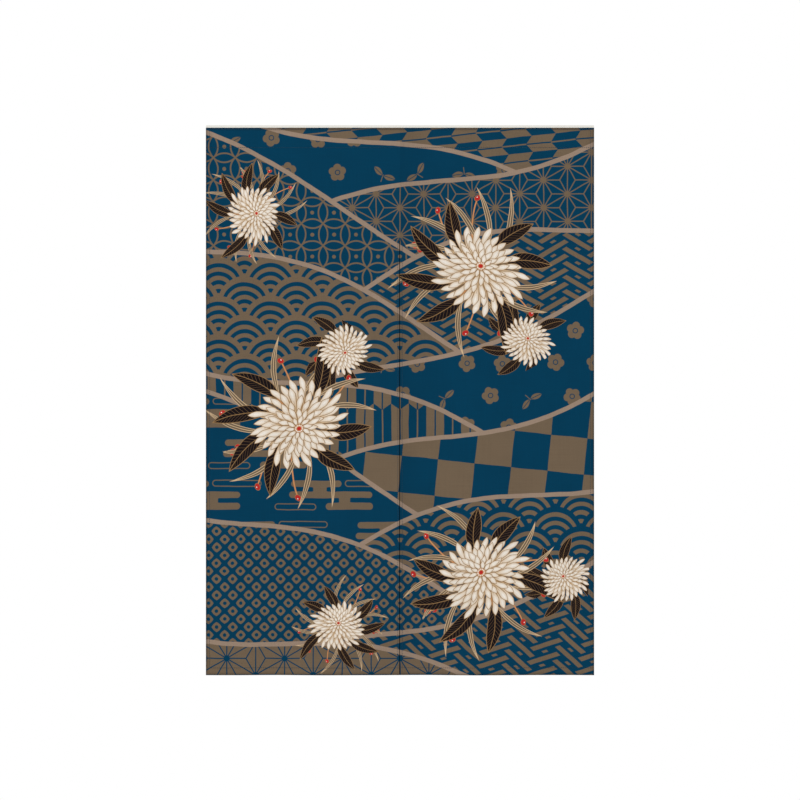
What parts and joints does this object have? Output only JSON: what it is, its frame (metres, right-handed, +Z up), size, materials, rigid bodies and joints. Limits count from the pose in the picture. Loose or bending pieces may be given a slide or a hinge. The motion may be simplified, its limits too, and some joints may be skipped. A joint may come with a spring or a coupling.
{
  "type": "noren doorway curtain",
  "caption": "Printed one-piece doorway curtain with a centre slit and turned hems, hanging from a plain white heading sleeve that takes a rod.",
  "frame": {"origin": "middle of the heading sleeve's top edge, where the rod that holds the curtain runs below it", "axes": "+Z up, +X across the cloth to the right as seen from the printed face, +Y from the printed face to the back"},
  "size_m": [0.85, 0.0243, 1.205],
  "materials": {
    "printed_cloth": "matt plain weave, dark blue and taupe print on the front, pale print-through on the back",
    "heading_cotton": "matt off-white cotton"
  },
  "bodies": {
    "root": {"printed_cloth": "printed_cloth", "heading_sleeve": "heading_cotton"}
  },
  "joints": []
}
